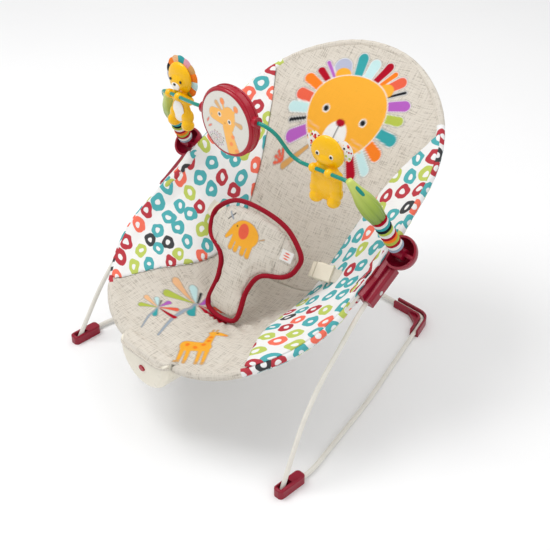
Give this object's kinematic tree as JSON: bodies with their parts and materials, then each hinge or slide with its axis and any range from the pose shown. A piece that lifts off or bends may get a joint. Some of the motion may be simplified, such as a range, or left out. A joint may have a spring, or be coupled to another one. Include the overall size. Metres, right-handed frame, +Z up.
{
  "type": "baby bouncer seat",
  "caption": "Baby bouncer seat: wire floor frame, sprung wire legs, hooped fabric sling with waist pad, vibration unit and a pivoting toy bar.",
  "frame": {"origin": "on the floor in the middle of the footprint", "axes": "+Z up, +Y towards the head end, +X to the right seen from the foot end looking at the seat"},
  "size_m": [0.489, 0.5114, 0.4752],
  "materials": {
    "cream_wire": "satin powder coat",
    "crimson_plastic": "satin moulded",
    "grip_rubber": "matt",
    "linen_cloth": "woven linen look",
    "ring_cloth": "printed cotton",
    "white_hem": "plain cotton",
    "pad_cloth": "quilted linen look",
    "webbing": "woven webbing",
    "cream_plastic": "smooth moulded",
    "screw_steel": "zinc plated",
    "cell_label": "plain sleeve",
    "board": "bare board",
    "teal_rod": "gloss coated",
    "striped_cloth": "striped jersey",
    "lime_plastic": "moulded",
    "print_face": "printed",
    "yellow_plastic": "moulded",
    "toy_cloth": "printed cotton"
  },
  "bodies": {
    "base": {"floor_frame_wire": "cream_wire", "left_front_foot": "crimson_plastic", "right_front_foot": "crimson_plastic", "left_front_grip": "grip_rubber", "right_front_grip": "grip_rubber", "left_rear_bracket": "crimson_plastic", "right_rear_bracket": "crimson_plastic"},
    "seat": {"seat_hoop_wire": "cream_wire", "back_hoop_wire": "cream_wire", "left_leg_wire": "cream_wire", "right_leg_wire": "cream_wire", "left_hub": "crimson_plastic", "right_hub": "crimson_plastic", "hub_screws": "screw_steel", "seat_panel": "linen_cloth", "back_panel": "linen_cloth", "left_side_panel": "ring_cloth", "right_side_panel": "ring_cloth", "seat_hem": "white_hem", "back_hem": "white_hem", "waist_pad": "pad_cloth", "left_waist_webbing": "webbing", "right_waist_webbing": "webbing", "left_buckle_socket": "cream_plastic", "right_buckle_socket": "cream_plastic", "left_buckle_plug": "cream_plastic", "right_buckle_plug": "cream_plastic", "vibration_front_shell": "cream_plastic", "vibration_rear_shell": "cream_plastic", "battery_door": "cream_plastic", "battery_door_screw": "screw_steel", "switch_board": "board", "battery_cell": "cell_label", "battery_contacts": "screw_steel", "vibration_motor": "screw_steel"},
    "button": {"vibration_button": "crimson_plastic"},
    "weight": {"eccentric_weight": "screw_steel"},
    "right_front_tab": {"right_front_release_tab": "cream_plastic"},
    "right_rear_tab": {"right_rear_release_tab": "cream_plastic"},
    "left_front_tab": {"left_front_release_tab": "cream_plastic"},
    "left_rear_tab": {"left_rear_release_tab": "cream_plastic"},
    "bar_pivots": {"left_bar_pivot": "crimson_plastic", "right_bar_pivot": "crimson_plastic"},
    "toy_bar": {"toy_bar_rod": "teal_rod", "left_arm_sleeve": "striped_cloth", "right_arm_sleeve": "striped_cloth", "left_bud": "lime_plastic", "right_bud": "lime_plastic"},
    "spinner": {"spinner_rim": "crimson_plastic", "spinner_front_face": "print_face", "spinner_rear_face": "print_face"},
    "lion_toy": {"lion_toy_body": "yellow_plastic", "lion_toy_mane": "toy_cloth"},
    "cub_toy": {"cub_toy_body": "yellow_plastic", "cub_toy_ears": "toy_cloth"}
  },
  "joints": [
    {"name": "seat_bounce", "type": "hinge", "parent": "base", "child": "seat", "pos_m": [0, -0.2063, 0.006], "axis": [1, 0, 0], "range_deg": [-8, 4], "stiffness_Nm_per_rad": 90, "springref_deg": 1.64},
    {"name": "vibration_button_press", "type": "slide", "parent": "seat", "child": "button", "axis": [0, 1, 0], "range_m": [0, 0.0015], "stiffness_N_per_m": 400, "springref_m": -0.0005},
    {"name": "weight_spin", "type": "hinge", "parent": "seat", "child": "weight", "pos_m": [0.036, -0.24298, 0.11096], "axis": [0, 1, 0], "continuous": true},
    {"name": "right_front_tab_squeeze", "type": "slide", "parent": "seat", "child": "right_front_tab", "axis": [-0.2144, 0.7045, 0.6765], "range_m": [0, 0.0015], "stiffness_N_per_m": 300, "springref_m": -0.0005},
    {"name": "right_rear_tab_squeeze", "type": "slide", "parent": "seat", "child": "right_rear_tab", "axis": [0.2144, -0.7045, -0.6765], "range_m": [0, 0.0015], "stiffness_N_per_m": 300, "springref_m": -0.0005},
    {"name": "left_front_tab_squeeze", "type": "slide", "parent": "seat", "child": "left_front_tab", "axis": [0.2144, 0.7045, 0.6765], "range_m": [0, 0.0015], "stiffness_N_per_m": 300, "springref_m": -0.0005},
    {"name": "left_rear_tab_squeeze", "type": "slide", "parent": "seat", "child": "left_rear_tab", "axis": [-0.2144, -0.7045, -0.6765], "range_m": [0, 0.0015], "stiffness_N_per_m": 300, "springref_m": -0.0005},
    {"name": "toy_bar_tilt", "type": "hinge", "parent": "seat", "child": "bar_pivots", "pos_m": [0, 0.0317, 0.28], "axis": [1, 0, 0], "range_deg": [-30, 35]},
    {"name": "toy_bar_lift", "type": "slide", "parent": "bar_pivots", "child": "toy_bar", "axis": [0, -0.4787, 0.878], "range_m": [0, 0.06]},
    {"name": "spinner_spin", "type": "hinge", "parent": "toy_bar", "child": "spinner", "pos_m": [-0.016, -0.05964, 0.43414], "axis": [0.9927, 0.0293, 0.1167], "continuous": true},
    {"name": "lion_swing", "type": "hinge", "parent": "toy_bar", "child": "lion_toy", "pos_m": [-0.152, -0.04522, 0.41165], "axis": [0.9518, -0.2299, 0.2028], "range_deg": [-60, 60]},
    {"name": "cub_swing", "type": "hinge", "parent": "toy_bar", "child": "cub_toy", "pos_m": [0.12755, -0.0311, 0.39519], "axis": [0.9911, -0.0638, 0.117], "range_deg": [-60, 60]}
  ],
  "couplings": [
    {"joint": "right_rear_tab_squeeze", "follows": "right_front_tab_squeeze", "ratio": 1},
    {"joint": "left_rear_tab_squeeze", "follows": "left_front_tab_squeeze", "ratio": 1}
  ]
}
